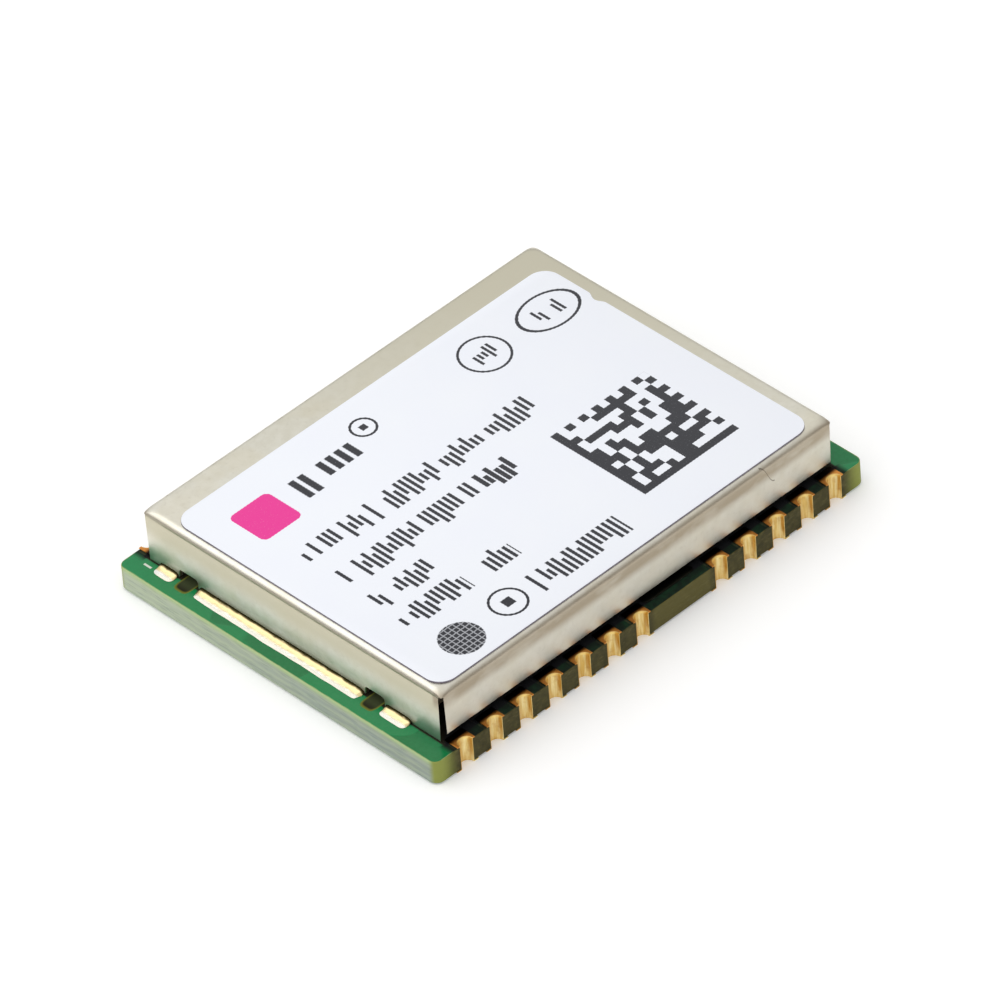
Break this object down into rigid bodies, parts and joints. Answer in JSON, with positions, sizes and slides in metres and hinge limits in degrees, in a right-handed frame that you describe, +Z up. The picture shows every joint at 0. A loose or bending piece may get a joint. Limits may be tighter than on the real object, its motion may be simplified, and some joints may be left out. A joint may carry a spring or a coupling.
{
  "type": "satellite receiver module",
  "caption": "Surface-mount receiver module: a castellated circuit board with plated half-hole terminals, under a soldered sheet-metal shield can with a label.",
  "frame": {"origin": "middle of the underside, in the plane of the terminals' pads", "axes": "+X along the long castellated edges, towards the group of five terminals; +Z up, out of the label"},
  "size_m": [0.0164, 0.0122, 0.0026],
  "materials": {
    "solder_mask": "green solder mask over glass-fibre laminate",
    "tinned_sheet": "satin tinned sheet",
    "label_film": "white film, faint sheen",
    "solder": "bright solder",
    "tinned_land": "tinned copper",
    "gold_plating": "gold flash over copper",
    "chip_mould": "matt black moulding",
    "ceramic_package": "matt ceramic",
    "capacitor_body": "fired ceramic, tan",
    "coil_body": "fired ceramic, blue grey"
  },
  "bodies": {
    "root": {"circuit_board": "solder_mask", "shield_can": "tinned_sheet", "label": "label_film", "solder_left_1": "solder", "solder_left_2": "solder", "solder_left_3": "solder", "solder_right_1": "solder", "solder_right_2": "solder", "solder_right_3": "solder", "ground_land_front": "tinned_land", "ground_land_rear": "tinned_land", "receiver_chip": "chip_mould", "reference_oscillator": "ceramic_package", "clock_crystal": "ceramic_package", "antenna_filter": "ceramic_package", "low_noise_amplifier": "chip_mould", "voltage_regulator": "chip_mould", "power_inductor": "chip_mould", "capacitor_1": "capacitor_body", "capacitor_2": "capacitor_body", "capacitor_3": "capacitor_body", "capacitor_4": "capacitor_body", "capacitor_5": "capacitor_body", "capacitor_6": "capacitor_body", "capacitor_7": "capacitor_body", "coil_1": "coil_body", "coil_2": "coil_body", "coil_3": "coil_body", "terminal_01": "gold_plating", "terminal_02": "gold_plating", "terminal_03": "gold_plating", "terminal_04": "gold_plating", "terminal_05": "gold_plating", "terminal_06": "gold_plating", "terminal_07": "gold_plating", "terminal_08": "gold_plating", "terminal_09": "gold_plating", "terminal_10": "gold_plating", "terminal_11": "gold_plating", "terminal_12": "gold_plating", "terminal_13": "gold_plating", "terminal_14": "gold_plating", "terminal_15": "gold_plating", "terminal_16": "gold_plating", "terminal_17": "gold_plating", "terminal_18": "gold_plating", "terminal_19": "gold_plating", "terminal_20": "gold_plating", "terminal_21": "gold_plating", "terminal_22": "gold_plating", "terminal_23": "gold_plating", "terminal_24": "gold_plating"}
  },
  "joints": []
}
